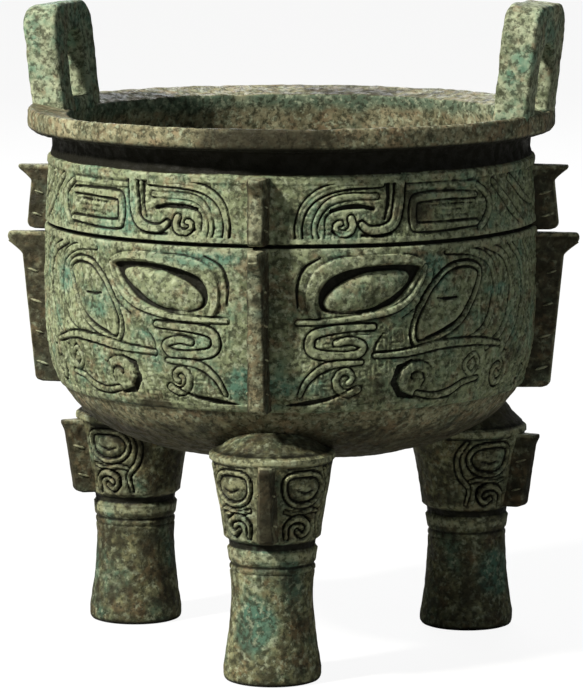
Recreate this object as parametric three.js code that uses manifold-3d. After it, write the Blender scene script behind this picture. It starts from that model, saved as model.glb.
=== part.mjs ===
// A round bronze ding: a deep bowl on three column legs, with two upright handles on its rim.
// It is one hollow casting. Its wall carries two animal masks under a band of dragons, parted by
// four hooked flanges, and each leg has a smaller mask with a flange of its own.
// Millimetres, +Z up, the origin on the floor under the bowl's axis, the front flange towards -Y.
import * as THREE from "three";
import { mergeVertices } from "three/addons/utils/BufferGeometryUtils.js";
import Module from "manifold-3d";

const wasm = await Module();
wasm.setup();

// Bowl, in heights from its rim down to its lowest point, which is bottomZ over the floor
const rimRadius = 150;
const rimEdge = 13;
const rimWidth = 22.5;
const rimSlope = 4;
const rimBevel = 2;
const rimOverhang = 13;
const neckHeight = 16;
const bandHeight = 36;
const maskHeight = 90;
const undersideHeight = 41.5;
const bottomZ = 112.5;
const bellySwell = 2.5;
const bellyDrop = 32;
const bottomFullness = 3.5;
const ringCrowding = 1.9;
const wall = 6;
const bowlSides = 36;
const bottomRings = 5;

// Ornament on the bowl: its borders and groove, and the lift of its relief over the wall
const borderHeight = 3.2;
const grooveHeight = 2.6;
const relief = 2.2;
const reliefSink = 2.4;
const reliefBevel = 0.5;
const strokeStep = 15;
const browWidth = 5;
const strokeWidth = 3;
const eyeLength = 48;
const eyeHeight = 18;
const eyeRise = 3;
const eyeLift = 5;
const bossSides = 8;

// Flanges on the bowl: depths are measured from the wall, and the sides thin towards the edge
const flangeRootThickness = 15;
const flangeEdgeThickness = 6;
const flangeHeel = 4;
const flangeGap = 2;
const flangeHang = 1.5;
const upperFlangeDepth = 13.5;
const upperFlangeFlare = 2.5;
const upperHookReach = 8;
const upperHookHeight = 2;
const upperHookDrop = 9;
const lowerFlangeDepth = 16.5;
const lowerFlangeTaper = 7;
const lowerHookReach = 9;
const lowerHookHeight = 5.5;
const lowerHookDrop = 13;

// Legs: heights over the foot, then heights measured from the border over the leg's mask
const legInset = 26.5;
const legTurn = 2;
const footRadius = 27;
const footHeight = 8;
const footBevel = 2;
const footFlare = 1.7;
const waistRadius = 22.7;
const waistZ = 50;
const shoulderRadius = 32.7;
const shoulderSwell = 1.4;
const shoulderDrop = 3;
const shoulderDome = 13;
const legBorderRise = 14.5;
const legMaskHeight = 46;
const ringDrop = 56;
const ringHeight = 7;
const ringLift = 0.6;
const legSides = 16;
const legFlangeRootThickness = 17;
const legFlangeDepth = 10.3;
const legFlangeTaper = 5;
const legHookReach = 2.5;
const legHookHeight = 2;
const legHookDrop = 7;
const legRelief = 1.6;
const legStrokeWidth = 2.2;
const legEyeLength = 8;
const legEyeHeight = 6.8;
const legStrokeStep = 11;

// Handles
const handleTurn = -11;
const handleInset = 12.5;
const handleWidth = 61;
const handleThickness = 20;
const handleHeight = 60;
const handleLean = 6.3;
const handleCorner = 15;
const handleRoot = 8;
const slotWidth = 26;
const slotHeight = 40;
const slotSill = 1.5;
const cornerSteps = 5;

// The casting's unevenness: each flange's azimuth and how far it hangs lower than the front one,
// each leg's azimuth, its mask's turn from facing straight out and how much lower its mask sits,
// and each handle's azimuth and what it adds to the height
const flangePlaces = [[0, 0], [90, 4.5], [180, 2], [270, 8]];
const legPlaces = [[0, 0, 0], [120, -50, 9], [240, 55, 4]];
const handlePlaces = [[90, 2], [270, -3.5]];

const neckRadius = rimRadius - rimOverhang;
const bellyRadius = neckRadius + bellySwell;
const maskBottomZ = bottomZ + undersideHeight;
const grooveZ = maskBottomZ + maskHeight;
const topBorderZ = grooveZ + bandHeight;
const underRim = topBorderZ + neckHeight;
const rimZ = underRim + rimEdge;
const bellyZ = grooveZ - bellyDrop;
const legCircle = bellyRadius - legInset;
const legBorderZ = bottomZ + legBorderRise;
const handleRadius = rimRadius - handleInset;

const radians = THREE.MathUtils.degToRad;

// Triangles without those that fold onto an edge, such as at a pole
function openTriangles(index, flipped) {
  const kept = [];
  for (let i = 0; i < index.length; i += 3) {
    const [a, b, c] = [index[i], index[i + 1], index[i + 2]];
    const whole = a !== b && b !== c && c !== a;
    if (whole) kept.push(a, flipped ? c : b, flipped ? b : c);
  }
  return new Uint32Array(kept);
}

// A closed geometry as a solid with its faces pointing out
function solid(geometry) {
  const bare = geometry.clone();
  bare.deleteAttribute("normal");
  bare.deleteAttribute("uv");
  const merged = mergeVertices(bare, 1e-4);
  const vertProperties = merged.attributes.position.array;
  const build = (flipped) => {
    const triVerts = openTriangles(merged.index.array, flipped);
    return new wasm.Manifold(new wasm.Mesh({ numProp: 3, vertProperties, triVerts }));
  };
  const made = build(false);
  return made.volume() > 0 ? made : build(true);
}

// A solid of revolution about Z from [radius, height] points
function turned(points, sides) {
  const profile = points.map(([r, z]) => new THREE.Vector2(r, z));
  return solid(new THREE.LatheGeometry(profile, sides).rotateX(Math.PI / 2));
}

// The wall's radius without ornament at a height; depth measures inwards from the outside
function bowlRadius(z, depth = 0) {
  const belly = bellyRadius - depth;
  const floor = bottomZ + depth;
  if (z >= bellyZ) {
    const rise = Math.min(1, (z - bellyZ) / (topBorderZ - bellyZ));
    return belly - (bellyRadius - neckRadius) * rise * rise;
  }
  const fall = Math.min(1, (bellyZ - z) / (bellyZ - floor));
  return belly * Math.cbrt(Math.max(0, 1 - fall ** bottomFullness));
}

// Points of the rounded bottom, from the axis up to just under a height
function bottomCurve(depth, endZ) {
  const floor = bottomZ + depth;
  const points = [[0, floor]];
  for (let i = 1; i < bottomRings; i++) {
    const z = floor + (endZ - floor) * (i / bottomRings) ** ringCrowding;
    points.push([bowlRadius(z, depth), z]);
  }
  return points;
}

// A raised border in a profile, from its lower edge to its upper edge
function borderProfile(z) {
  const low = z - borderHeight / 2;
  const high = z + borderHeight / 2;
  return [
    [bowlRadius(low), low],
    [bowlRadius(low) + relief, low + reliefBevel],
    [bowlRadius(high) + relief, high - reliefBevel],
    [bowlRadius(high), high],
  ];
}

// The groove between the two bands, with a border above and below it
function grooveProfile() {
  const half = grooveHeight / 2;
  return [
    ...borderProfile(grooveZ - half - borderHeight / 2).slice(0, 3),
    [bowlRadius(grooveZ) - reliefBevel, grooveZ],
    ...borderProfile(grooveZ + half + borderHeight / 2).slice(1),
  ];
}

function bowlOutside() {
  const bellyRings = [(maskBottomZ + bellyZ) / 2, bellyZ].map((z) => [bowlRadius(z), z]);
  return turned(
    [
      ...bottomCurve(0, maskBottomZ),
      ...borderProfile(maskBottomZ),
      ...bellyRings,
      ...grooveProfile(),
      ...borderProfile(topBorderZ),
      [neckRadius, underRim - rimBevel],
      [rimRadius - rimBevel * 2, underRim],
      [rimRadius, underRim + rimBevel * 2],
      [rimRadius, rimZ - rimBevel],
      [rimRadius - rimBevel, rimZ],
      [rimRadius - rimWidth, rimZ - rimSlope],
      [0, rimZ - rimSlope],
    ],
    bowlSides,
  );
}

function cavity() {
  const lip = rimRadius - rimWidth;
  return turned(
    [
      ...bottomCurve(wall, bellyZ),
      [bowlRadius(bellyZ, wall), bellyZ],
      [neckRadius - wall, underRim - neckHeight],
      [lip, rimZ - rimSlope - rimEdge / 2],
      [lip, rimZ + rimBevel],
      [0, rimZ + rimBevel],
    ],
    bowlSides,
  );
}

// A point over the bowl's skin, x millimetres round it from the front flange, at a height
function onBowl(x, z, lift) {
  const r = bowlRadius(z) + lift;
  const a = x / bellyRadius;
  return [r * Math.sin(a), -r * Math.cos(a), z];
}

// The same over a leg's skin, x counted from the leg's own flange
function onLeg([x0, y0], facing, drop) {
  return (x, z, lift) => {
    const r = legRadius(z, drop) + lift;
    const a = radians(facing) + x / shoulderRadius;
    return [x0 + r * Math.sin(a), y0 - r * Math.cos(a), z];
  };
}

// Points on an oval about a centre, from one angle to another in degrees; an end scale other
// than 1 winds it into a spiral
function oval(x, z, radiusX, radiusZ, from, to, endScale = 1) {
  const count = Math.max(3, Math.ceil(Math.abs(to - from) / 60));
  const points = [];
  for (let i = 0; i <= count; i++) {
    const share = i / count;
    const angle = radians(from + (to - from) * share);
    const scale = 1 + (endScale - 1) * share;
    points.push([x + radiusX * scale * Math.cos(angle), z + radiusZ * scale * Math.sin(angle)]);
  }
  return points;
}

// A raised ridge of a width that follows a curve of [x, z] points over a skin
function ribbon(path, width, skin, lift, step) {
  const ends = [path[0], path[path.length - 1]];
  const closed = Math.hypot(ends[0][0] - ends[1][0], ends[0][1] - ends[1][1]) < reliefBevel;
  const points = (closed ? path.slice(1) : path).map(([x, z]) => new THREE.Vector3(x, z, 0));
  const curve = new THREE.CatmullRomCurve3(points, closed, "centripetal");
  const spans = Math.max(closed ? 6 : 1, Math.round(curve.getLength() / step));
  const rings = closed ? spans : spans + 1;
  const corners = [];
  for (let i = 0; i < rings; i++) {
    const at = curve.getPointAt(i / spans);
    const along = curve.getTangentAt(i / spans);
    for (const [side, height] of [[-1, -reliefSink], [1, -reliefSink], [0, lift]]) {
      const out = (side * width) / 2;
      corners.push(...skin(at.x - along.y * out, at.y + along.x * out, height));
    }
  }
  const faces = [];
  for (let i = 0; i < spans; i++) {
    const [a, b] = [i * 3, ((i + 1) % rings) * 3];
    for (let k = 0; k < 3; k++) {
      const n = (k + 1) % 3;
      faces.push(a + k, a + n, b + n, a + k, b + n, b + k);
    }
  }
  if (!closed) {
    const last = spans * 3;
    faces.push(0, 2, 1, last, last + 1, last + 2);
  }
  const geometry = new THREE.BufferGeometry();
  geometry.setAttribute("position", new THREE.Float32BufferAttribute(corners, 3));
  geometry.setIndex(faces);
  return solid(geometry);
}

// A boss shaped as half an egg: its outer end is slimmer and drawn up by a rise
function boss([x, z], length, height, rise, skin, lift, hand) {
  const geometry = new THREE.SphereGeometry(1, bossSides, bossSides / 2);
  const place = geometry.attributes.position;
  for (let i = 0; i < place.count; i++) {
    const [u, v, up] = [place.getX(i), place.getY(i), place.getZ(i)];
    const slim = 1 - 0.4 * Math.max(0, u);
    const point = skin(hand * (x + (u * length) / 2), z + (v * height * slim) / 2 + rise * u, up * lift);
    place.setXYZ(i, ...point);
  }
  return solid(geometry);
}

// Carving is drawn in hundredths of its panel: x from the middle of the mask to the side flange,
// or a quarter turn on a leg, and z from the panel's foot to its top
function spread(path, width, foot, height) {
  return path.map(([x, z]) => [(x * width) / 100, foot + (z * height) / 100]);
}

// Half a mask as [path, width]: brow, eye rim, ear, horn and jaw scroll
const maskEye = [27, 71];
const maskStrokes = [
  [[[9, 58], [10, 78], [18, 91], [47, 92]], browWidth],
  [oval(...maskEye, 14, 15.6, 0, 360), strokeWidth],
  [oval(54, 62, 9.6, 22, 0, 360), strokeWidth],
  [[[49, 92], [68, 89], [74, 68], [68, 42], [37, 33]], strokeWidth],
  [oval(42, 15.6, 4.6, 7.8, 60, 400, 1.9), strokeWidth],
];

// What only the front mask has: the ear's lobe, the jaw's tail, lip, fang and side plume
const maskDetails = [
  [oval(54, 62, 4, 11, -60, 150), strokeWidth],
  [[[48, 7], [58, 7], [64, 22], [60, 29]], strokeWidth],
  [[[9, 53], [22, 52], [25, 44], [16, 38]], strokeWidth],
  [oval(18, 20, 6, 10, 90, -200, 0.5), strokeWidth],
  [[[89, 91], [87, 53], [75, 18]], strokeWidth],
];

// Half the dragon band: its crest, the post beside it and a square coil
const bandStrokes = [
  [[[10, 17], [11, 61], [18, 86], [33, 86]], strokeWidth],
  [[[37, 19], [37, 92]], strokeWidth],
  [[[65, 81], [42, 81], [41, 25], [65, 22]], strokeWidth],
];

// What only the front has: the snout's curl, the coil's bar and the tail
const bandDetails = [
  [oval(25.5, 42, 5, 19, 40, -250, 0.45), strokeWidth],
  [[[47.5, 53], [64, 53]], strokeWidth],
  [oval(85, 53, 6, 28, 120, -170), strokeWidth],
];

// Half a leg's mask: the rim of its eye and its nostril's curl
const legEye = [40, 67];
const legStrokes = [
  [oval(...legEye, 19.5, 17.4, 0, 360), legStrokeWidth],
  [oval(34, 22, 15.6, 12, 170, -100), legStrokeWidth],
];

// A flange: a wedge of a blade in a plane through the Z axis, that thins from its root to its
// edge, with a rounded heel and a beak at its top
function flange(sizes, azimuth) {
  const { root, top, bottom, blade, foot, hook, hookHeight, hookDrop, rootThickness } = sizes;
  const corners = [
    [root, top],
    [hook, top],
    [hook, top - hookHeight],
    [blade, top - hookDrop],
    [foot, bottom + flangeHeel],
    [foot - flangeHeel, bottom],
    [root, bottom],
  ];
  const shape = new THREE.Shape(corners.map(([r, z]) => new THREE.Vector2(r, z)));
  const geometry = new THREE.ExtrudeGeometry(shape, { depth: rootThickness, bevelEnabled: false });
  geometry.translate(0, 0, -rootThickness / 2).rotateX(Math.PI / 2);
  const place = geometry.attributes.position;
  for (let i = 0; i < place.count; i++) {
    const share = (place.getX(i) - root) / (hook - root);
    const thickness = rootThickness + (flangeEdgeThickness - rootThickness) * share;
    place.setY(i, (place.getY(i) * thickness) / rootThickness);
  }
  geometry.rotateZ(radians(azimuth - 90));
  return solid(geometry);
}

// The two flanges one over the other at a place round the bowl; they share its drop
function flangePair(azimuth, drop) {
  const upperBlade = neckRadius + upperFlangeDepth;
  const upper = {
    root: neckRadius - wall / 2,
    top: topBorderZ + borderHeight / 2 - drop,
    bottom: grooveZ + flangeGap / 2 - drop,
    blade: upperBlade,
    foot: upperBlade + upperFlangeFlare,
    hook: upperBlade + upperHookReach,
    hookHeight: upperHookHeight,
    hookDrop: upperHookDrop,
    rootThickness: flangeRootThickness,
  };
  const lowerBlade = bellyRadius + lowerFlangeDepth;
  const lower = {
    root: bowlRadius(maskBottomZ) - wall / 2,
    top: grooveZ - flangeGap / 2 - drop,
    bottom: maskBottomZ - flangeHang - drop / 2,
    blade: lowerBlade,
    foot: lowerBlade - lowerFlangeTaper,
    hook: lowerBlade + lowerHookReach,
    hookHeight: lowerHookHeight,
    hookDrop: lowerHookDrop,
    rootThickness: flangeRootThickness,
  };
  return [flange(upper, azimuth), flange(lower, azimuth)];
}

function legFlange([x0, y0], facing, borderZ) {
  const blade = shoulderRadius + legFlangeDepth;
  const sizes = {
    root: waistRadius / 2,
    top: borderZ - shoulderDrop,
    bottom: borderZ - legMaskHeight,
    blade,
    foot: blade - legFlangeTaper,
    hook: blade + legHookReach,
    hookHeight: legHookHeight,
    hookDrop: legHookDrop,
    rootThickness: legFlangeRootThickness,
  };
  return flange(sizes, facing).translate([x0, y0, 0]);
}

// A leg's radius: a flared foot, a slim waist and a shoulder that swells towards the bowl
function legRadius(z, drop) {
  if (z < waistZ) {
    const share = Math.min(1, (waistZ - z) / (waistZ - footHeight));
    return waistRadius + (footRadius - waistRadius) * share ** footFlare;
  }
  const shoulderZ = legBorderZ - drop - shoulderDrop;
  const share = Math.min(1, (z - waistZ) / (shoulderZ - waistZ));
  return waistRadius + (shoulderRadius - waistRadius) * share ** shoulderSwell;
}

function legColumn([x0, y0], drop) {
  const borderZ = legBorderZ - drop;
  const ringLow = borderZ - ringDrop - ringHeight / 2;
  const ringHigh = ringLow + ringHeight;
  const calfZ = (footHeight + waistZ) / 2;
  const points = [
    [0, 0],
    [footRadius - footBevel, 0],
    [footRadius, footBevel],
    [footRadius, footHeight],
    [legRadius(calfZ, drop), calfZ],
    [waistRadius, waistZ],
    [legRadius(ringLow, drop) + ringLift, ringLow],
    [legRadius(ringHigh, drop) + ringLift, ringHigh],
    [shoulderRadius, borderZ - shoulderDrop],
    [shoulderRadius + legRelief / 2, borderZ],
  ];
  const domeHeight = shoulderDome + drop;
  const domeShare = 0.6;
  const domeRadius = shoulderRadius * Math.sqrt(1 - domeShare * domeShare);
  points.push([domeRadius, borderZ + domeHeight * domeShare]);
  points.push([0, borderZ + domeHeight]);
  return turned(points, legSides).translate([x0, y0, 0]);
}

function leg(turn, maskTurn, drop) {
  const a = radians(turn);
  const centre = [legCircle * Math.sin(a), -legCircle * Math.cos(a)];
  const facing = turn + maskTurn;
  const borderZ = legBorderZ - drop;
  const skin = onLeg(centre, facing, drop);
  const parts = [legColumn(centre, drop), legFlange(centre, facing, borderZ)];
  const place = (path) => {
    return spread(path, (shoulderRadius * Math.PI) / 2, borderZ - legMaskHeight, legMaskHeight);
  };
  const [eye] = place([legEye]);
  for (const hand of [-1, 1]) {
    for (const [path, width] of legStrokes) {
      const own = place(path).map(([x, z]) => [x * hand, z]);
      parts.push(ribbon(own, width, skin, legRelief, legStrokeStep));
    }
    parts.push(boss(eye, legEyeLength, legEyeHeight, 0, skin, legRelief * 1.5, hand));
  }
  return parts;
}

// A handle: a slab with rounded shoulders and an arched slot, leaning out from the rim
function handle(azimuth, extraHeight) {
  const half = handleWidth / 2;
  const cornerZ = handleHeight + extraHeight - handleCorner;
  const side = new THREE.Shape();
  side.moveTo(-half, -handleRoot);
  side.lineTo(half, -handleRoot);
  side.absarc(half - handleCorner, cornerZ, handleCorner, 0, Math.PI / 2);
  side.absarc(handleCorner - half, cornerZ, handleCorner, Math.PI / 2, Math.PI);
  side.closePath();
  const arch = slotWidth / 2;
  const slot = new THREE.Path();
  slot.moveTo(arch, slotSill);
  slot.lineTo(-arch, slotSill);
  slot.absarc(0, slotHeight - arch, arch, Math.PI, 0, true);
  slot.closePath();
  side.holes.push(slot);
  const geometry = new THREE.ExtrudeGeometry(side, {
    depth: handleThickness,
    bevelEnabled: false,
    curveSegments: cornerSteps,
  });
  geometry.translate(0, 0, -handleThickness / 2).rotateX(Math.PI / 2);
  geometry.rotateX(radians(handleLean)).translate(0, -handleRadius, rimZ);
  geometry.rotateZ(radians(azimuth));
  return solid(geometry);
}

// The front mask with its dragons, and a plainer match of them at the back
function ornament() {
  const parts = [];
  const quarter = (bellyRadius * Math.PI) / 2;
  const onMask = (path) => spread(path, quarter, maskBottomZ, maskHeight);
  const onBand = (path) => spread(path, quarter, grooveZ, bandHeight);
  const main = [[onMask, maskStrokes], [onBand, bandStrokes]];
  const details = [[onMask, maskDetails], [onBand, bandDetails]];
  const [eye] = onMask([maskEye]);
  for (const [middle, groups] of [[0, [...main, ...details]], [quarter * 2, main]]) {
    const skin = (x, z, lift) => onBowl(middle + x, z, lift);
    for (const hand of [-1, 1]) {
      for (const [place, strokes] of groups) {
        for (const [path, width] of strokes) {
          const own = place(path).map(([x, z]) => [x * hand, z]);
          parts.push(ribbon(own, width, skin, relief, strokeStep));
        }
      }
      parts.push(boss(eye, eyeLength, eyeHeight, eyeRise, skin, eyeLift, hand));
    }
  }
  return parts;
}

function casting() {
  const parts = [bowlOutside(), ...ornament()];
  for (const [azimuth, drop] of flangePlaces) parts.push(...flangePair(azimuth, drop));
  for (const [azimuth, maskTurn, drop] of legPlaces) {
    parts.push(...leg(azimuth + legTurn, maskTurn, drop));
  }
  for (const [azimuth, extra] of handlePlaces) parts.push(handle(azimuth + handleTurn, extra));
  return wasm.Manifold.union(parts).subtract(cavity());
}

// A solid as a named mesh of flat faces
function meshOf(name, made, material) {
  const { numProp, vertProperties, triVerts } = made.getMesh();
  const count = vertProperties.length / numProp;
  const positions = new Float32Array(count * 3);
  for (let i = 0; i < count; i++) {
    positions.set(vertProperties.subarray(i * numProp, i * numProp + 3), i * 3);
  }
  const geometry = new THREE.BufferGeometry();
  geometry.setAttribute("position", new THREE.BufferAttribute(positions, 3));
  geometry.setIndex(new THREE.BufferAttribute(new Uint32Array(triVerts), 1));
  const mesh = new THREE.Mesh(geometry, material);
  mesh.name = name;
  return mesh;
}

const patinatedBronze = new THREE.MeshStandardMaterial({
  color: 0x55644a,
  roughness: 0.75,
  metalness: 0.35,
  flatShading: true,
});

const ding = new THREE.Group();
ding.add(meshOf("ding_casting", casting(), patinatedBronze));

export default ding;
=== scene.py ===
import math
from collections import namedtuple
import bpy
import numpy as np
from mathutils import Euler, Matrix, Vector


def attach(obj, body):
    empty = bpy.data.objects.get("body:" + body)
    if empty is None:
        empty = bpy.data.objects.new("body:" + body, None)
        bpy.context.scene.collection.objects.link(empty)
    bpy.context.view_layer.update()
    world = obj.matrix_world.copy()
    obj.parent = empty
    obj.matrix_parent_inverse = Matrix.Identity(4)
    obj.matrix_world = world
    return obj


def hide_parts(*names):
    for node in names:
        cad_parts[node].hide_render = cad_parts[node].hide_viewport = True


# A round bronze ding: a deep bowl with two animal masks under a band of dragons, four hooked
# flanges, three masked column legs and two slotted handles, all under a thick uneven patina.
# Lengths are millimetres until a mesh is made. Azimuths are degrees, 0 at the front flange and
# rising to the right. A relief's x runs round the skin from the middle of its mask.

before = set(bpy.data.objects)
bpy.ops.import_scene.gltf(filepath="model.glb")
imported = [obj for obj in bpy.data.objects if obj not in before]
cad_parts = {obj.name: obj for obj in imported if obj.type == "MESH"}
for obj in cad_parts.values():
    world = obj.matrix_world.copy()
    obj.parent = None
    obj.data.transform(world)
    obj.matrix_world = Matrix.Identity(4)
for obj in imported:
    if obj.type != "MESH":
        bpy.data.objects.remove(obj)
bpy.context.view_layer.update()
NODE = "ding_casting"
MM = 0.001

# Bowl
RIM_RADIUS = 150
RIM_Z = 309
RIM_EDGE = 13
RIM_WIDTH = 22.5
RIM_SLOPE = 4
NECK_RADIUS = 137
BELLY_RADIUS = 139.5
BELLY_Z = 212
BOTTOM_Z = 112.5
BOTTOM_FULLNESS = 3.5
WALL = 6
TOP_BORDER_Z = 280
GROOVE_Z = 244
MASK_BOTTOM_Z = 154
PANEL_LEVEL = 1.2
PANEL_SINK = 4.4
PANEL_RECESS = 3.6
PANEL_EDGE = 3
MASK_MIDDLE = 0.7
MASK_SPREAD = 0.94
GROOVE_DEPTH = 3
DEEPEST_CUT = 4.2
BOWL_COLUMNS = 340

# Distance between the points of a fine mesh
FRONT_SPACING = 0.58
BACK_SPACING = 1.05
LEG_SPACING = 0.88
FLANGE_SPACING = 0.85

# Patches of patina: azimuth, height, half width in degrees, half height, strength
TEAL_SPOTS = [(-57, 219, 4.5, 12, 1.0), (-33, 262, 3, 14, 0.8), (-12, 236, 9, 6, 0.9),
              (8, 165, 12, 12, 0.6), (-4, 168, 5, 9, 0.9), (42, 230, 4, 12, 1.0), (61, 214, 5, 4, 0.9),
              (-28, 192, 6, 6, 0.6), (150, 210, 16, 14, 0.9), (208, 180, 20, 12, 0.9),
              (120, 262, 12, 8, 0.8)]
BROWN_SPOTS = [(-28, 152, 9, 8, 1.0), (35, 262, 9, 14, 0.7), (70, 176, 6, 16, 0.5), (24, 165, 22, 14, 0.45),
               (170, 240, 20, 10, 0.6), (230, 205, 14, 18, 0.6)]
RIM_STAINS = [(4, 303, 17, 12, 1.2), (95, 303, 20, 8, 0.7), (170, 303, 25, 8, 0.8), (-84, 303, 8, 6, 0.5)]
LEG_TEAL = [(-20, 33, 34, 15, 1.3), (-28, 98, 9, 14, 0.8), (28, 66, 16, 10, 0.7), (150, 40, 30, 14, 0.9)]

# Flanges: root and the three reaches are radii; each side has its azimuth and how much lower it hangs
FlangeShape = namedtuple("FlangeShape", "root top bottom upper_reach lower_reach beak_reach "
                                        "beak_height beak_drop thickness")
FLANGE_ROOT = 15
LEG_FLANGE_ROOT = 17
FLANGE_EDGE = 6
FLANGE_HEEL = 4
# Darkening of the flanges' broad faces: partly grime, partly painted shade
FLANGE_GRIME_AND_SHADE = 0.68
FLANGE_SIDES = {"front": (0, 0), "right": (90, 4.5), "back": (180, 2), "left": (270, 8)}
RIB_LENGTH = 7
RIB_THICKNESS = 1.3
RIB_SLANT = 0.3

# Legs: azimuth, turn of the mask from it, how much lower its bands are, grime and painted shade
LEG_CIRCLE = 113
LEG_TURN = 2
LEGS = {"front": (0, 0, 0, 0.4), "right": (120, -50, 9, 0.5), "left": (240, 55, 4, 0.56)}
FOOT_RADIUS = 27
FOOT_HEIGHT = 8
WAIST_RADIUS = 22.7
WAIST_Z = 50
SHOULDER_RADIUS = 32.7
SHOULDER_TOP = 140
LEG_BORDER_Z = 127
LEG_MASK_Z = 81
LEG_RING_Z = 71.5
LEG_SHAFT_Z = 58
LEG_TOE = 2.6

# Handles
HANDLE_TURN = -11
HANDLE_RADIUS = 137.5
HANDLE_WIDTH = 61
HANDLE_THICKNESS = 20
HANDLE_HEIGHTS = {"right": 62, "left": 56.5}
HANDLE_LEAN = 6.3
HANDLE_CORNER = 15
HANDLE_ROOT = 8
SLOT_WIDTH = 26
SLOT_HEIGHT = 40
SLOT_SILL = 1.5
HANDLE_WEAR = 2.6
HANDLE_COLUMNS = 200

# Finishes: ground, bloom, teal and earth colours, then the shares of bloom, teal, earth and pores
FINISHES = {
    "ornament": ((0.06, 0.07, 0.036), (0.185, 0.215, 0.122), (0.065, 0.15, 0.11), (0.14, 0.095, 0.055),
                 (0.5, 0.34, 0.3, 0.42)),
    "rim": ((0.07, 0.065, 0.035), (0.22, 0.205, 0.125), (0.05, 0.092, 0.064), (0.17, 0.12, 0.068),
            (0.5, 0.22, 0.36, 0.42)),
    "leg": ((0.045, 0.045, 0.022), (0.21, 0.215, 0.115), (0.045, 0.11, 0.08), (0.12, 0.08, 0.04),
            (0.4, 0.32, 0.34, 0.44)),
    "flange": ((0.05, 0.046, 0.026), (0.19, 0.19, 0.115), (0.055, 0.11, 0.085), (0.15, 0.1, 0.05),
               (0.45, 0.3, 0.42, 0.42)),
    "handle": ((0.07, 0.085, 0.045), (0.3, 0.33, 0.22), (0.07, 0.18, 0.13), (0.2, 0.15, 0.09),
               (0.55, 0.42, 0.28, 0.45)),
}

# Camera and lights in metres: azimuth, elevation, distance, size, power and colour of each light
CAMERA_LENS = 245.1
CAMERA_PLACE = (7.4, 7.83, 2.7063)
CAMERA_TARGET_Z = 0.1704
LIGHT_TARGET_Z = 0.18
LIGHTS = {"key": (-48, 40, 3.0, 0.3, 226, (1.0, 0.96, 0.88)),
          "fill": (58, 25, 3.5, 2.5, 17, (0.92, 0.96, 1.0)),
          "back": (190, 35, 3.0, 1.5, 60, (0.96, 0.98, 1.0))}


# Curves and noise

def step(low, high, value):
    """0 below low, 1 above high, and smooth between them."""
    share = np.clip((value - low) / (high - low), 0, 1)
    return share * share * (3 - 2 * share)


def smooth_path(points, closed=False, per_span=6):
    """A smooth curve through a few points."""
    p = np.array(points, float)
    ends = (p[-1:], p[:2]) if closed else (2 * p[:1] - p[1:2], 2 * p[-1:] - p[-2:-1])
    p = np.vstack([ends[0], p, ends[1]])
    t = np.linspace(0, 1, per_span, endpoint=False)[:, None]
    spans = []
    for a, b, c, d in zip(p, p[1:], p[2:], p[3:]):
        bend = 2 * a - 5 * b + 4 * c - d
        spans.append(b + 0.5 * t * (c - a + t * (bend + t * (3 * (b - c) + d - a))))
    return np.vstack([*spans, p[-2:-1]])


def curl(x, z, start_radius, end_radius, start, sweep, flat=1.0):
    """A spiral about a centre, its angles in degrees and counted from +x."""
    share = np.linspace(0, 1, max(5, int(abs(sweep) / 30)))
    angle = np.radians(start + sweep * share)
    radius = start_radius + (end_radius - start_radius) * share
    return np.stack([x + radius * np.cos(angle), z + flat * radius * np.sin(angle)], 1)


def path_distance(x, z, path, widths=0.0):
    """Distance from each point to a stroke's edge; its width may change from start to end."""
    best = np.full(x.shape, np.inf)
    lengths = np.append(0, np.cumsum(np.linalg.norm(np.diff(path, axis=0), axis=1)))
    widths = np.atleast_1d(widths)
    halves = np.interp(lengths / lengths[-1], np.linspace(0, 1, len(widths)), widths) / 2
    for (ax, az), (bx, bz), start, end in zip(path[:-1], path[1:], halves[:-1], halves[1:]):
        dx, dz = bx - ax, bz - az
        share = ((x - ax) * dx + (z - az) * dz) / max(dx * dx + dz * dz, 1e-9)
        share = np.clip(share, 0, 1)
        away = np.sqrt((x - ax - share * dx) ** 2 + (z - az - share * dz) ** 2)
        best = np.minimum(best, away - start - (end - start) * share)
    return best


def lattice(ix, iy, iz, seed):
    """A fixed random number from 0 to 1 for each whole-number place."""
    h = ix * 374761393 + iy * 668265263 + iz * 2147483647 + seed * 144665
    h = (h ^ (h >> 13)) * 1274126177 & 0xFFFFFFFF
    return ((h ^ (h >> 16)) & 0xFFFF) / 65535


def noise(points, size, seed):
    """Smooth noise from -1 to 1 over points in millimetres, with lumps of about a size."""
    scaled = points / size + 1000
    base = np.floor(scaled).astype(np.int64)
    f = scaled - base
    f = f * f * (3 - 2 * f)
    total = 0
    for corner in range(8):
        dx, dy, dz = corner & 1, corner >> 1 & 1, corner >> 2
        weight = np.abs(1 - dx - f[..., 0]) * np.abs(1 - dy - f[..., 1]) * np.abs(1 - dz - f[..., 2])
        total = total + weight * lattice(base[..., 0] + dx, base[..., 1] + dy, base[..., 2] + dz, seed)
    return total * 2 - 1


def blur(values, reach):
    """A grid of values averaged over a few neighbours each way, twice."""
    for _ in range(2):
        for axis in (0, 1):
            padding = [(reach + 1, reach) if a == axis else (0, 0) for a in (0, 1)]
            sums = np.cumsum(np.pad(values, padding, mode="edge"), axis=axis)
            size = values.shape[axis]
            upper = np.take(sums, np.arange(size) + 2 * reach + 1, axis=axis)
            lower = np.take(sums, np.arange(size), axis=axis)
            values = (upper - lower) / (2 * reach + 1)
    return values


# Relief

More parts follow.
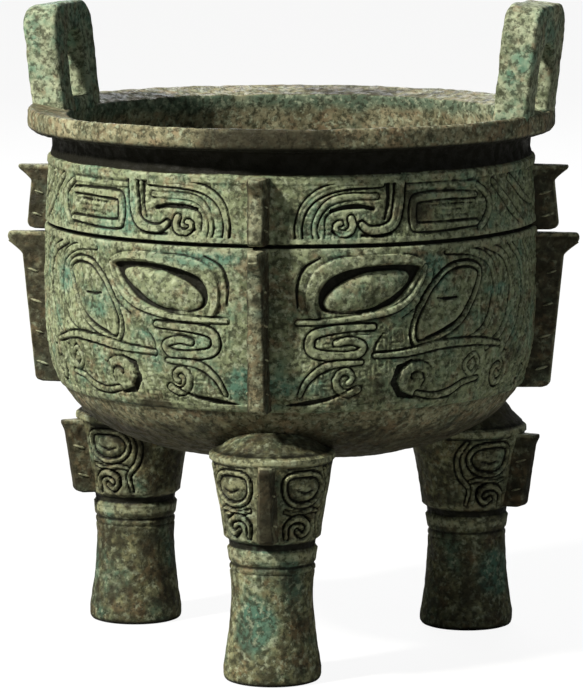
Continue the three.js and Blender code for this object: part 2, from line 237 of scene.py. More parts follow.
class Relief:
    """A height map in millimetres over a grid of places on a skin; 0 is its plain level."""

    def __init__(self, x, z):
        self.x, self.z = x, z
        self.height = np.zeros_like(x)

    def near(self, path, margin, widths=0.0):
        margin += np.max(widths) / 2
        low, high = path.min(0) - margin, path.max(0) + margin
        inside = (self.x > low[0]) & (self.x < high[0]) & (self.z > low[1]) & (self.z < high[1])
        return inside, path_distance(self.x[inside], self.z[inside], path, widths)

    def blend(self, inside, share, level):
        self.height[inside] += (level - self.height[inside]) * share

    def cut(self, path, widths, depth, edge=0.9):
        """A groove along a path; a list of widths tapers it."""
        inside, distance = self.near(np.asarray(path), edge, widths)
        self.height[inside] -= depth * (1 - step(-edge / 2, edge / 2, distance))

    def band(self, path, widths, lift=0.3, groove=1.4, depth=1.3, vein=0.0):
        """A flat raised band with a groove on both sides, and an incised line along its middle."""
        path = np.asarray(path)
        edge = 0.8
        inside, distance = self.near(path, groove + edge, widths)
        self.blend(inside, 1 - step(groove - edge, groove, distance), -depth)
        self.blend(inside, 1 - step(-edge * 0.8, edge * 0.2, distance), lift)
        if vein:
            self.height[inside] -= vein * (1 - step(0.2, 1.0, distance + np.max(widths) / 2))

    def pad(self, path, level, edge=1.2):
        """A closed outline filled at a level."""
        path = np.asarray(path)
        inside, distance = self.near(path, edge)
        x, z = self.x[inside], self.z[inside]
        crossings = np.zeros(x.shape, bool)
        for (ax, az), (bx, bz) in zip(path, np.roll(path, -1, 0)):
            spans = (az > z) != (bz > z)
            crossings ^= spans & (x < (bx - ax) * (z - az) / (bz - az + 1e-12) + ax)
        signed = np.where(crossings, -distance, distance)
        self.blend(inside, 1 - step(-edge / 2, edge / 2, signed), level)

    def egg(self, x, z, half_x, half_z, tilt, lift, slim=0.0):
        """A domed boss; slim narrows the end that is farther from the mask's middle."""
        turn = math.radians(tilt)
        dx, dz = self.x - x, self.z - z
        u = (dx * math.cos(turn) + dz * math.sin(turn)) / half_x
        v = (dz * math.cos(turn) - dx * math.sin(turn)) / half_z
        v = v / (1 - slim * np.clip(u, 0, 1))
        self.height += lift * np.clip(1 - u * u - v * v, 0, 1) ** 0.4

    def meanders(self, pitch, cell, depth):
        """Fine square spirals cut all over, one in each cell."""
        column = np.floor(self.x / cell)
        u = self.x - (column + 0.5) * cell
        shifted = self.z + np.where(column % 2 > 0, cell / 2, 0)
        v = shifted - (np.floor(shifted / cell) + 0.5) * cell
        u = np.where(column % 2 > 0, -u, u)
        reach = np.maximum(np.abs(u), np.abs(v))
        side = np.arctan2(v, u) / (2 * math.pi)
        wave = np.abs((reach / pitch - side) % 1 - 0.5) * 2
        self.height -= depth * (1 - step(0.25, 0.75, wave))


# Bowl

def bowl_radius(z, depth=0.0):
    """The wall's radius without ornament; depth measures inwards."""
    z = np.asarray(z, float)
    belly, floor = BELLY_RADIUS - depth, BOTTOM_Z + depth
    rise = np.clip((z - BELLY_Z) / (TOP_BORDER_Z - BELLY_Z), 0, 1)
    fall = np.clip((BELLY_Z - z) / (BELLY_Z - floor), 0, 1)
    above = belly - (BELLY_RADIUS - NECK_RADIUS) * rise**2
    return np.where(z >= BELLY_Z, above, belly * np.cbrt(1 - fall**BOTTOM_FULLNESS))


def degrees(points):
    """Points given as [degrees from the mask's middle, height], as millimetres round the bowl."""
    return [(a * math.radians(BELLY_RADIUS), z) for a, z in points]


def line(*points):
    return smooth_path(degrees(points))


def loop(*points):
    return smooth_path(degrees(points), closed=True)


def bowl_curl(a, z, *rest):
    return curl(a * math.radians(BELLY_RADIUS), z, *rest)


def dragon_band(r):
    """Half the upper band: a crest over a snout, an eye, a post and a dragon's square coils."""
    r.band(line((35.5, 274.5), (46, 274.5), (58, 274)), 3.0, lift=0.2, depth=0.8)
    r.band(line((57, 267.8), (48, 268.8), (40, 268.5), (37.8, 266), (37.6, 255), (40, 252.4), (57, 252.6)),
           [3.0, 4.4, 4.4, 3.0], groove=1.6, depth=1.5)
    r.cut(line((56, 263.5), (48, 264.2), (43, 263.6)), [0.6, 1.8, 1.0], 0.9)
    r.cut(line((55, 257.4), (48, 257.9), (42.5, 257)), [0.8, 1.6, 0.6], 0.8)
    r.cut(line((53, 260.8), (46, 261)), 1.0, 0.5)
    r.band(line((58, 273), (62, 266), (61.5, 257), (58, 249)), [3, 5.5, 3], lift=0.5)
    r.band(line((64, 275), (69, 265), (73, 257), (79, 249)), [3, 5, 3])
    r.band(line((72, 275), (76, 268), (81, 262), (87, 258)), [4, 4, 2])
    r.band(bowl_curl(81, 270.5, 2, 6, 0, -260), 3)
    r.band(line((29.5, 277), (20, 276.8), (13.8, 273.3), (10, 266), (8.6, 256), (9, 246.5)), [3, 4.4, 3.4],
           lift=0.5, groove=1.3, depth=1.4, vein=0.5)
    r.band(line((28, 270.6), (20, 270.6), (15.6, 267.5), (13.2, 261), (12.4, 254), (13, 247.5)),
           [3, 3.6, 2.4], lift=0.3, groove=1.2, depth=1.1)
    r.cut(line((27, 263.6), (24, 265.2), (19.5, 265), (16.4, 263.2)), [2.2, 2.8, 2.0], 2.6)
    r.cut(line((16.4, 263.2), (15, 259), (15, 251)), [1.6, 1.2, 0.8], 1.1)
    r.band(bowl_curl(19, 255, 2.2, 7.5, 100, 300, 0.8), [2.6, 4.2], lift=0.6, groove=1.3, depth=1.7)
    r.cut(line((20.5, 252), (18.5, 251.2), (16.6, 252.2)), [1.4, 2.4, 1.4], 1.4)
    r.band(line((34.2, 278), (33.6, 266), (32.4, 256), (29.6, 252.2), (26, 252.4), (24, 255.6)),
           [6, 6.4, 5, 3.4], lift=0.7, groove=1.6, depth=1.7, vein=0.4)
    r.cut(line((31.5, 249.8), (27.5, 248.6), (24, 249.8)), [1.2, 2.6, 1.4], 1.8)
    r.cut(line((31.1, 277), (30.8, 267), (29.8, 258)), [2.0, 2.4, 1.4], 1.9)


def mask_eye(r):
    """The eye: a big almond ball in a deep well, under a brow that widens towards the nose."""
    well = loop((38.5, 231.5), (31, 232.6), (22, 231.6), (16.4, 227), (13.6, 219), (13.8, 211), (17, 207.6),
                (24, 207.8), (31, 211), (35.6, 219), (38.4, 227))
    r.band(line((40, 232.6), (36, 235.6), (28, 236.4), (20, 234.6), (14.4, 229.5), (11.8, 221), (11.4, 212),
                (12.6, 205.6)), [3.4, 5.0, 6.2, 8.6, 7.4, 3.5], lift=1.6, groove=1.4, depth=0.0)
    r.band(line((40.6, 231), (39.4, 223), (36.6, 214.6), (32.2, 208.6), (26.4, 205.6), (18.5, 203.6),
                (8.5, 203)), [2.6, 3.6, 3.2, 2.6], lift=1.0, groove=1.3, depth=0.7)
    r.cut(line((43.5, 229), (42, 219), (38.8, 210), (34.4, 203.6)), [0.8, 1.6, 0.8], 1.1)
    r.pad(well, -3.0, edge=1.8)
    r.egg(25.6 * math.radians(BELLY_RADIUS), 219.4, 28, 10.2, 15, 4.6, slim=0.32)
    r.cut(line((14, 237.8), (10, 232), (8.2, 222), (8.3, 211)), [0.8, 2.0, 2.2, 0.8], 1.3)


def mask_ear(r):
    """The ear: a tall leaf with a fold, and a slit across it."""
    leaf = loop((58, 226), (54, 230.4), (48, 229), (43.4, 221), (39.6, 209), (37.4, 196), (38.6, 188.6),
                (44, 190.6), (50.5, 197.5), (54.5, 207), (57, 217))
    r.pad(leaf, -0.1)
    r.band(leaf, 2.4, lift=0.5, groove=1.9, depth=2.0)
    r.cut(line((54, 209), (51.5, 200.5), (46, 194.6), (41, 191.6)), [1.2, 2.8, 1.2], 1.8)
    r.cut(line((39.8, 209), (38.2, 200), (38.8, 190)), [0.8, 2.4, 1.6], 1.3)
    r.cut(line((50.5, 226), (47.6, 219), (46, 210)), [0.6, 1.6, 0.6], 0.6)
    r.cut(line((50.4, 212.4), (47, 212.2), (44.4, 213)), [0.9, 2.0, 0.9], 1.8)


def mask_cheek(r):
    """Nose scrolls, lip and jaw beside the front flange, and the curled jaw under the ear."""
    r.band(line((27, 199.5), (18, 199), (12.6, 196.5), (11.4, 190.5), (13, 185.6), (18.6, 183.6),
                (23, 184.6), (24.4, 189), (21, 192), (17.6, 191)),
           [3.4, 4.6, 5.2, 4.6, 3.4], lift=0.6, groove=1.3, depth=1.5)
    r.cut(line((26, 195.4), (20, 195), (16.4, 193.4)), [0.8, 1.6, 0.8], 0.9)
    r.cut(line((29.6, 196), (27.4, 188), (27.6, 181)), [0.8, 1.8, 0.8], 1.1)
    r.band(bowl_curl(20.5, 170.5, 2, 9, -60, 380), [3, 4.4], lift=0.5, groove=1.3, depth=1.4)
    r.band(line((24, 180), (16, 178.6), (11.6, 171), (9.4, 161.5)), [2.4, 4.2, 2.4], lift=0.4)
    r.cut(line((22, 165.5), (17.5, 160.6), (12, 157.4), (6, 155.6)), [0.8, 2.2, 3.0, 1.4], 1.9)
    r.band(line((27.5, 183.6), (36, 184.4), (46, 187), (56, 187.4), (66, 183)), [2.4, 4.6, 4.0, 2.4],
           lift=0.5, groove=1.6, depth=1.5)
    r.egg(38.2 * math.radians(BELLY_RADIUS), 169.4, 12, 9.6, 0, 1.0)
    for inner, outer, start, sweep, widths, depth in (
        (1.5, 8.4, 200, -250, [1.0, 2.0, 1.4], 1.7), (13.4, 13.8, 100, 175, [1.0, 4.6, 4.4, 1.6], 3.0),
        (12.4, 13.4, 100, -70, [1.6, 1.4, 0.6], 1.4),
    ):
        r.cut(bowl_curl(38.2, 169.4, inner, outer, start, sweep, 0.8), widths, depth)
    r.band(line((39.5, 160.5), (45, 158), (50, 160), (54, 164.6), (59, 166)), [2.6, 4, 2.4],
           lift=0.3, depth=1.7)
    r.band(loop((58.4, 174.5), (56.4, 180), (53.6, 174.5), (56.4, 169)), 2.6, depth=1.5)


def mask_side(r):
    """The body behind the ear: two long plumes, a scroll at their foot and feathers."""
    r.band(line((47, 238.4), (55, 236.8), (61.4, 231), (64, 220), (63, 205), (59, 193), (53, 187.5)),
           [2.6, 4.4, 4.6, 3], lift=0.5, groove=1.3, depth=1.3, vein=0.4)
    r.band(line((60, 239.5), (68, 233), (71.5, 220), (71, 204), (67, 190), (61, 182.5)), [3, 5, 3], vein=0.4)
    r.band(line((71, 239.5), (77, 228), (78.6, 210), (75.6, 192), (69, 178)), [3, 4.4, 3])
    r.band(line((79.5, 239.5), (84.6, 224), (85.6, 204), (82.6, 186), (77, 170)), [3, 4.4, 2.4], vein=0.4)
    r.band(bowl_curl(67, 167.5, 2.4, 10, 40, 380), [3, 4.6], lift=0.5, depth=1.7)
    r.band(bowl_curl(82, 162.5, 1.6, 6, 180, -300), 2.8, lift=0.4)


def bowl_relief(x, z, seed):
    """One quarter of the bowl's ornament, from the middle of a mask to the side flange."""
    places = np.stack([x, z, np.full_like(x, seed * 50.0)], -1)
    x = np.abs(x + 1.1 * noise(places, 24, seed))
    r = Relief(x, z + 0.9 * noise(places, 27, seed + 5))
    r.meanders(2.7, 10.8, 0.55)
    r.height *= 0.25 + 0.75 * step(-0.3, 0.35, noise(places, 19, seed + 6))
    r.pad(line((0, 241), (8, 241), (7, 205), (8.5, 180), (7, 156), (0, 156)), -0.1)
    r.pad(line((0, 279), (7.5, 279), (6.5, 246), (0, 246)), -0.1)
    r.pad(line((44, 241), (44, 235), (16, 234), (8, 228), (8, 241)), 0.1)
    dragon_band(r)
    mask_ear(r)
    mask_side(r)
    mask_cheek(r)
    worn = step(-0.35, 0.3, noise(places, 26, seed + 15)) * step(-0.5, 0.2, noise(places, 9, seed + 17))
    r.height *= 0.68 + 0.32 * worn
    mask_eye(r)
    trim = [(TOP_BORDER_Z, 3.6, 0.6), (GROOVE_Z + 2.6, 2.4, 0.2), (GROOVE_Z - 3.0, 3.2, 0.3),
            (MASK_BOTTOM_Z, 3.4, 0.5)]
    for border_z, width, lift in trim:
        away = np.abs(z - border_z)
        r.blend(slice(None), 1 - step(width / 2, width / 2 + 0.9, away), lift)
    r.height -= GROOVE_DEPTH * (1 - step(0.5, 1.5, np.abs(z - GROOVE_Z)))
    wear = noise(places, 9, seed + 9) * 0.35 + noise(places, 4.2, seed + 11) * 0.26
    wear += noise(places, 2.2, seed + 13) * 0.2
    ball = np.hypot((r.x - 62) / 26, (r.z - 219) / 11) < 1
    wear += ball * np.minimum(0, noise(places, 5.5, seed + 19) + 0.1) * 0.9
    return np.maximum(r.height + wear, -DEEPEST_CUT)


def leg_radius(z, drop):
    z = np.asarray(z, float)
    border = LEG_BORDER_Z - drop
    low = np.clip((WAIST_Z - z) / (WAIST_Z - FOOT_HEIGHT), 0, 1)
    high = np.clip((z - WAIST_Z) / (border - 3 - WAIST_Z), 0, 1)
    flare = (FOOT_RADIUS - WAIST_RADIUS) * low**1.7
    swell = (SHOULDER_RADIUS - WAIST_RADIUS) * high**1.4
    over = np.clip((z - border) / (SHOULDER_TOP - border), 0, 1)
    neck = 1 - 0.13 * step(0.1, 0.32, over)
    return (WAIST_RADIUS + flare + swell) * neck * np.sqrt(1 - over**2)


def leg_mask(r):
    """Half a leg's mask: a framed eye over a curled nose, and a jaw line."""
    well = [(11, 119), (20, 120.5), (33, 119), (38, 111), (34, 102.5), (23, 99.5), (13, 102), (9.5, 110)]
    frame_line = [(12, 117.5), (21, 119.3), (32, 117.6), (37, 111), (33, 103.8), (22, 101.2), (13.5, 104),
                  (10.5, 110.5)]
    r.cut([(12, 122.5), (60, 122.5)], 1.3, 0.9)
    r.pad(smooth_path(well, closed=True), -0.6)
    r.band(smooth_path(frame_line, closed=True), 2.6, lift=0.6, groove=1.5, depth=1.5)
    r.egg(23.5, 110.3, 9, 5.6, -6, 1.6)
    r.cut(smooth_path([(17.5, 110.2), (23.5, 108.4), (29.5, 110)]), [0.8, 2.2, 0.8], 1.5)
    r.band(smooth_path([(11, 98.4), (20, 96.6), (30, 98.4), (40, 96)]), [1.6, 2.6, 1.6], lift=0.4)
    r.band(smooth_path([(13, 83.5), (12.5, 90), (18, 94), (26, 93), (29, 88), (25, 84.5), (20.5, 87)]),
           [2.4, 3.6, 2.4], lift=0.6, groove=1.7, depth=1.7)
    r.cut(smooth_path([(24, 95.4), (30.5, 92.5), (31.5, 87)]), [0.8, 2.4, 0.8], 1.6)
    r.band(smooth_path([(38, 121), (44, 112), (43, 101), (37, 93), (39, 84)]), [2, 3.4, 2], lift=0.4)


def leg_relief(x, z, seed):
    """The mask round a leg's shoulder, over a flush ring; z is counted for the front leg."""
    places = np.stack([x, z, np.full_like(x, seed * 40.0)], -1)
    u = np.abs(x + 0.4 * noise(places, 14, seed))
    r = Relief(u, z + 0.4 * noise(places, 15, seed + 3))
    leg_mask(r)
    plain = step(48, 54, u) + (1 - step(LEG_MASK_Z - 1, LEG_MASK_Z + 1, z)) + step(122, 125, z)
    r.height *= 1 - np.clip(plain, 0, 1)
    over_border = step(LEG_BORDER_Z, LEG_BORDER_Z + 2, z)
    r.height += 1.1 * step(LEG_MASK_Z - 1, LEG_MASK_Z + 0.4, z) * (1 - over_border)
    rings = [(LEG_BORDER_Z - 1, 0.9, 1.4, 2.4), (LEG_RING_Z + 5.9, -1.5, 1.5, 3.0),
             (LEG_RING_Z - 5.5, -0.9, 0.6, 1.6), (LEG_RING_Z - 9.5, -0.5, 0.3, 0.9)]
    for ring_z, level, narrow, wide in rings:
        r.height += level * (1 - step(narrow, wide, np.abs(z - ring_z)))
    wear = noise(places, 11, seed + 7) * 0.3 + noise(places, 3.5, seed + 8) * 0.2
    return r.height + wear


# Meshes

def finished(name, mesh):
    """A piece that rides on the part and stands for the casting."""
    piece = bpy.data.objects.new(name, mesh)
    bpy.context.collection.objects.link(piece)
    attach(piece, "root")
    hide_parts(NODE)


def make_mesh(name, points, faces, marks, material, sharp=50):
    """A finished piece from points in millimetres; marks left out at the end are 0."""
    mesh = bpy.data.meshes.new(name)
    mesh.from_pydata((points * MM).tolist(), [], faces)
    for title, values in marks.items():
        padded = np.zeros(len(points), np.float32)
        padded[:values.size] = values.ravel()
        mesh.attributes.new(title, "FLOAT", "POINT").data.foreach_set("value", padded)
    mesh.validate()
    mesh.materials.append(material)
    mesh.shade_smooth()
    mesh.set_sharp_from_angle(angle=math.radians(sharp))
    finished(name, mesh)


def grid_faces(rows, columns, wrap_rows=False, wrap_columns=False):
    """Quads between neighbours in a grid of points."""
    i = np.arange(rows if wrap_rows else rows - 1)[:, None]
    j = np.arange(columns if wrap_columns else columns - 1)[None, :]
    below, beside = (i + 1) % rows, (j + 1) % columns
    corners = [i * columns + j, i * columns + beside, below * columns + beside, below * columns + j]
    return np.stack([np.broadcast_to(c, (i.size, j.size)) for c in corners], -1).reshape(-1, 4).tolist()


def tube_faces(rows, columns):
    """A tube's faces, with a cap at each end."""
    caps = [list(reversed(range(columns))), list(range((rows - 1) * columns, rows * columns))]
    return grid_faces(rows, columns, wrap_columns=True) + caps


def quarter_round(share):
    """A rounded edge's rise: steep at 0 and level at 1."""
    return np.sqrt(1 - (1 - np.clip(share, 0, 1)) ** 2)


def around(radius, azimuth, z):
    """Points from cylindrical places about the bowl's axis."""
    a = np.radians(azimuth)
    return np.stack([radius * np.sin(a), -radius * np.cos(a), np.broadcast_to(z, a.shape)], -1)


def crevices(height, spacing):
    """How far each place lies under its surroundings, 0 to 1, and how far it stands over them."""
    local = height - blur(height, max(1, round(2.6 / spacing)))
    sunk = np.maximum(-local / 1.1, (-0.9 - height) / 1.6)
    return np.clip(sunk, 0, 1), np.clip(local / 0.8, 0, 1)


def patch_of(azimuth, z, spots):
    """Soft patches over a skin: each spot is azimuth, height, half width, half height, strength."""
    total = np.zeros(np.broadcast(azimuth, z).shape)
    for spot_azimuth, spot_z, wide, tall, strength in spots:
        away = (azimuth - spot_azimuth + 180) % 360 - 180
        total = total + strength * np.exp(-((away / wide) ** 2) - ((z - spot_z) / tall) ** 2)
    return total


def ragged(values, points, seed):
    """A soft mask broken up by noise, from 0 to 1."""
    breaks = noise(points, 7, seed) * 0.22 + noise(points, 2.2, seed + 1) * 0.16
    return step(0.25, 0.8, values + breaks * (values > 0.02))


def bowl_panel(name, quarter, spacing, material):
    """A quarter of the ornament: a thin curved plate let into the bowl's wall."""
    low, high = MASK_BOTTOM_Z - PANEL_EDGE, TOP_BORDER_Z + PANEL_EDGE
    columns = int(math.radians(90) * BELLY_RADIUS / spacing)
    rows = int((high - low) / spacing)
    azimuth, z = np.meshgrid(np.linspace(0, 90, columns) + 90 * quarter, np.linspace(low, high, rows))
    faces_front = quarter in (0, -1)
    turn = (azimuth - (0 if faces_front else 180) + 180) % 360 - 180
    turn = (turn - (MASK_MIDDLE if faces_front else 0)) / MASK_SPREAD
    height = bowl_relief(np.abs(turn) * math.radians(BELLY_RADIUS), z, seed=quarter + 3)
    edge = step(0, 1.6, np.minimum(z - low, high - z))
    front = around(bowl_radius(z) + (PANEL_LEVEL + height) * edge - 0.4 * (1 - edge), azimuth, z)
    back_z = np.linspace(high, low, 12)[:, None] * np.ones((1, columns))
    back = around(bowl_radius(back_z) - PANEL_SINK, np.broadcast_to(azimuth[0], back_z.shape), back_z)
    total = rows + len(back_z)
    faces = grid_faces(total, columns, wrap_rows=True)
    faces.append([row * columns for row in range(total)])
    faces.append([row * columns + columns - 1 for row in reversed(range(total))])
    # Sunk places take the dark mark, as dirt in the grooves and painted shade in them; raised places take
    # the pale mark, as worn crests.
    pits_and_shade, crests_and_highlights = crevices(height, spacing)
    marks = {"pits_and_shade": pits_and_shade, "crests_and_highlights": crests_and_highlights,
             "verdigris": ragged(patch_of(azimuth, z, TEAL_SPOTS), front, quarter + 41),
             "stain_and_shade": ragged(patch_of(azimuth, z, BROWN_SPOTS), front, quarter + 47)}
    make_mesh(name, np.vstack([front.reshape(-1, 3), back.reshape(-1, 3)]), faces, marks, material)


def profile_points(corners, spacing):
    """A profile's corners with points added along its straight stretches."""
    points = []
    for (ra, za), (rb, zb) in zip(corners, corners[1:]):
        count = max(1, round(math.hypot(rb - ra, zb - za) / spacing))
        for i in range(count):
            points.append((ra + (rb - ra) * i / count, za + (zb - za) * i / count))
    return points + [corners[-1]]


def arc(centre_r, centre_z, radius, start, end, count=6):
    """Points of a rounded corner in a profile."""
    angles = np.radians(np.linspace(start, end, count))
    return [(centre_r + radius * math.cos(a), centre_z + radius * math.sin(a)) for a in angles]


def grid_normals(points):
    """Unit normals of a grid of points that closes on itself, for moving its skin in or out."""
    along = np.roll(points, -1, 1) - np.roll(points, 1, 1)
    normal = np.cross(along, np.gradient(points, axis=0))
    return normal / np.maximum(np.linalg.norm(normal, axis=-1, keepdims=True), 1e-9)


def bowl_profile():
    """The wall's outline, from under the middle of the bowl round the rim to the middle inside."""
    under, lip, inner_edge_z = RIM_Z - RIM_EDGE, RIM_RADIUS - RIM_WIDTH, RIM_Z - RIM_SLOPE
    low, high = MASK_BOTTOM_Z - PANEL_EDGE, TOP_BORDER_Z + PANEL_EDGE
    heights = [*(BOTTOM_Z + (low - BOTTOM_Z) * np.linspace(0.03, 1, 30) ** 1.6),
               *np.linspace(low + 0.8, low + 2.6, 4), *np.linspace(low + 6, high - 6, 12),
               *np.linspace(high - 2.6, high - 0.8, 4), high]
    outside = []
    for z in heights:
        recess = step(low + 0.8, low + 2.4, z) * (1 - step(high - 2.4, high - 0.8, z))
        outside.append((float(bowl_radius(z) - PANEL_RECESS * recess), float(z)))
    inner_low = BOTTOM_Z + WALL
    inner = inner_low + (TOP_BORDER_Z + 2 - inner_low) * np.linspace(1, 0.02, 50) ** 1.6
    corners = [
        *outside,
        (NECK_RADIUS - 1, TOP_BORDER_Z + 7),
        (NECK_RADIUS - 0.6, under - 4),
        *arc(NECK_RADIUS + 2.5, under - 3, 2.5, 180, 95, 4),
        *arc(RIM_RADIUS - 4.5, under + 4.5, 4.5, -90, 0),
        *arc(RIM_RADIUS - 2, RIM_Z - 2.2, 2, 0, 80),
        (lip + 1.5, inner_edge_z),
        *arc(lip + 1.5, inner_edge_z - 1.5, 1.5, 90, 180, 4),
        (lip, inner_edge_z - 5),
        *[(float(bowl_radius(z, WALL)), float(z)) for z in inner],
    ]
    return np.array(profile_points(corners, 2.2))


def bowl_marks(points, azimuth, amount, outer):
    """Dirt, worn places, stains, painted shade under the rim and under the bowl, and green on the bowl, with
    a value for each of its two poles.
    """
    z, under = points[..., 2], RIM_Z - RIM_EDGE
    # The neck under the rim's overhang is painted nearly black in both dark marks: a painted shadow of the
    # rim.
    neck = step(TOP_BORDER_Z + 1, TOP_BORDER_Z + 4, z) * outer
    pits_and_shade = np.clip(0.5 - amount * 0.9, 0, 1) * 0.35
    pits_and_shade = np.maximum(pits_and_shade, 0.9 * neck * (1 - step(under, under + 4, z)))
    outer_skin = step(-0.5, 0.5, inside_measure(points))
    stain_and_shade = ragged(patch_of(azimuth, z, RIM_STAINS), points, 35) * outer_skin
    stain_and_shade = np.maximum(stain_and_shade, 0.95 * neck * (1 - step(under - 1, under + 1, z)))
    # Painted shade: the outer skin is darkened from under the masks down to the bottom and its pole, for the
    # shade under the bowl.
    painted_underside_shade = 1 - step(MASK_BOTTOM_Z - 30, MASK_BOTTOM_Z + 4, z)
    stain_and_shade = np.maximum(stain_and_shade, 0.85 * ragged(0.95 * painted_underside_shade, points, 37) * outer_skin)
    return {"pits_and_shade": pits_and_shade, "crests_and_highlights": np.clip(amount, 0, 1), "stain_and_shade": np.append(stain_and_shade, [1, 0]),
            "verdigris": np.append(0.9 * (1 - outer_skin), [0, 1])}


def bowl_body(material):
    """The rim, neck, inside and plain underside, with the wall under the ornament."""
    profile = bowl_profile()
    rows, columns = len(profile), BOWL_COLUMNS
    azimuth = np.linspace(0, 360, columns, endpoint=False)[None, :] * np.ones((rows, 1))
    radius = profile[:, :1] * np.ones_like(azimuth)
    points = around(radius, azimuth, profile[:, 1:])
    uneven = noise(points, 26, 31) * 0.4 + noise(points, 8, 32) * 0.36 + noise(points, 3.6, 33) * 0.3
    covered = step(BELLY_Z - 50, BELLY_Z - 40, points[..., 2])
    covered = covered * (1 - step(TOP_BORDER_Z - 2, TOP_BORDER_Z + 4, points[..., 2]))
    outer = step(NECK_RADIUS - 5, NECK_RADIUS - 3, radius)
    amount = uneven * (1 - covered * outer)
    points = points - grid_normals(points) * amount[..., None]
    faces = grid_faces(rows, columns, wrap_columns=True)
    low_pole, last = rows * columns, (rows - 1) * columns
    for j in range(columns):
        n = (j + 1) % columns
        faces.append([low_pole, n, j])
        faces.append([low_pole + 1, last + j, last + n])
    poles = [[0, 0, profile[0][1]], [0, 0, profile[-1][1]]]
    marks = bowl_marks(points, azimuth, amount, outer)
    make_mesh("ding_bowl", np.vstack([points.reshape(-1, 3), poles]), faces, marks, material, 60)


def inside_measure(points):
    """Below 0 on the bowl's inner skin, above 0 on its outer skin and rim."""
    radius = np.hypot(points[..., 0], points[..., 1])
    middle = bowl_radius(np.minimum(points[..., 2], TOP_BORDER_Z), WALL / 2)
    rim = RIM_RADIUS - RIM_WIDTH + 0.6
    return np.where(points[..., 2] > TOP_BORDER_Z, radius - rim, radius - middle)


def leg_centre(azimuth):
    a = math.radians(azimuth)
    return np.array([LEG_CIRCLE * math.sin(a), -LEG_CIRCLE * math.cos(a), 0])


def leg_heights(drop):
    """Rows up a leg: sparse on the shaft, fine over the mask, then a dome."""
    border = LEG_BORDER_Z - drop
    dome = border + (SHOULDER_TOP - border) * np.sin(np.linspace(0.4, 1.5, 10))
    shaft, masked = LEG_SHAFT_Z - drop, LEG_SHAFT_Z + 0.5 - drop
    return np.concatenate([[0, 0.5, 1.2, 2.2, 3.4], np.arange(5, shaft, 1.3),
                           np.arange(masked, border + 4, LEG_SPACING), dome[dome > border + 4.5]])


def leg_marks(points, turn, z, drop, height, grime_and_shade, seed):
    """Dirt, worn places, stains, painted shade and teal on a leg, whose ring and border are rubbed pale and
    which has a painted highlight beside its flange.
    """
    level = z + drop
    pits_and_shade, crests_and_highlights = crevices(height, LEG_SPACING)
    pale = 1 - step(1.2, 2.6, np.abs(level - LEG_RING_Z))
    pale = np.maximum(pale, 1 - step(1.0, 2.4, np.abs(level - LEG_BORDER_Z + 1)))
    # Painted highlight: a pale strip just left of the leg's flange stands for skin lit from the left.
    lit_strip = (turn < -8) * (turn > -34) * step(LEG_MASK_Z, LEG_MASK_Z + 2, level)
    pale = np.maximum(pale, 0.6 * lit_strip * (1 - step(122, 124, level)))
    # The dome over the border, which runs up under the bowl, is darker.
    dome_darkening = 0.2 * step(LEG_BORDER_Z - 1, LEG_BORDER_Z + 5, level)
    # Each leg's own darkening is partly grime and partly painted shade: the back legs, in the bowl's shade,
    # are painted darker.
    stain_and_shade = ragged(grime_and_shade + dome_darkening, points, seed + 9)
    # The lowest 4 mm of the foot, where it meets the floor, is painted dark as shade.
    return {"pits_and_shade": np.maximum(pits_and_shade, 0.8 * (1 - step(0, 4, z))), "crests_and_highlights": np.maximum(crests_and_highlights, pale),
            "stain_and_shade": stain_and_shade * (1 - 0.8 * pale),
            "verdigris": ragged(patch_of(turn, z, LEG_TEAL), points, seed + 21)}


def leg(name, azimuth, facing, drop, grime_and_shade, material, seed):
    """A column leg with its mask; its upper end stops inside the bowl's wall."""
    columns = int(2 * math.pi * SHOULDER_RADIUS / LEG_SPACING)
    turn, z = np.meshgrid(np.linspace(-180, 180, columns, endpoint=False), leg_heights(drop))
    height = leg_relief(turn * math.radians(SHOULDER_RADIUS), z + drop, seed)
    radius = leg_radius(z, drop) - LEG_TOE * (1 - quarter_round(z / 3.4)) + height * step(0, 3, z)
    points = leg_centre(azimuth) + around(radius, turn + facing, z)
    levels = np.linspace(BOTTOM_Z + WALL / 2, BELLY_Z, 200)
    ceiling = np.interp(np.hypot(points[..., 0], points[..., 1]), bowl_radius(levels, WALL / 2), levels)
    points[..., 2] = np.minimum(points[..., 2], ceiling)
    marks = leg_marks(points, turn, z, drop, height, grime_and_shade, seed)
    make_mesh(name, points.reshape(-1, 3), tube_faces(*z.shape), marks, material)


def spun(points, azimuth):
    """Points turned about the bowl's axis from the front to an azimuth."""
    a = math.radians(azimuth)
    x, y, z = points[..., 0], points[..., 1], points[..., 2]
    return np.stack([x * math.cos(a) - y * math.sin(a), x * math.sin(a) + y * math.cos(a), z], -1)


def flange_outline(z, shape):
    """The blade's outer radius at a height: a taper, a rounded heel and a beak at the top."""
    top, beak = shape.top, shape.beak_height
    neck_z = top - shape.beak_drop
    heel_z = shape.bottom + FLANGE_HEEL
    down = np.clip((neck_z - z) / (neck_z - heel_z), 0, 1)
    taper = shape.upper_reach + (shape.lower_reach - shape.upper_reach) * down
    up = np.clip((z - neck_z) / (shape.beak_drop - beak), 0, 1)
    hook = (shape.beak_reach - shape.upper_reach) * up**1.25
    heel = np.clip((heel_z - z) / FLANGE_HEEL, 0, 1)
    nose = np.clip((z - (top - beak)) / beak, 0, 1)
    rounding = beak / 3 * (1 - np.sqrt(1 - (2 * np.abs(nose - 0.5)) ** 2 * (z > top - beak)))
    return taper + hook - FLANGE_HEEL * (1 - np.sqrt(1 - heel**2)) - rounding


def half_thickness(reach, shape):
    """Half a flange's thickness: it is a wedge that thins from its root to its beak."""
    out = (reach - shape.root) / (shape.beak_reach - shape.root)
    return (shape.thickness + (FLANGE_EDGE - shape.thickness) * out) / 2


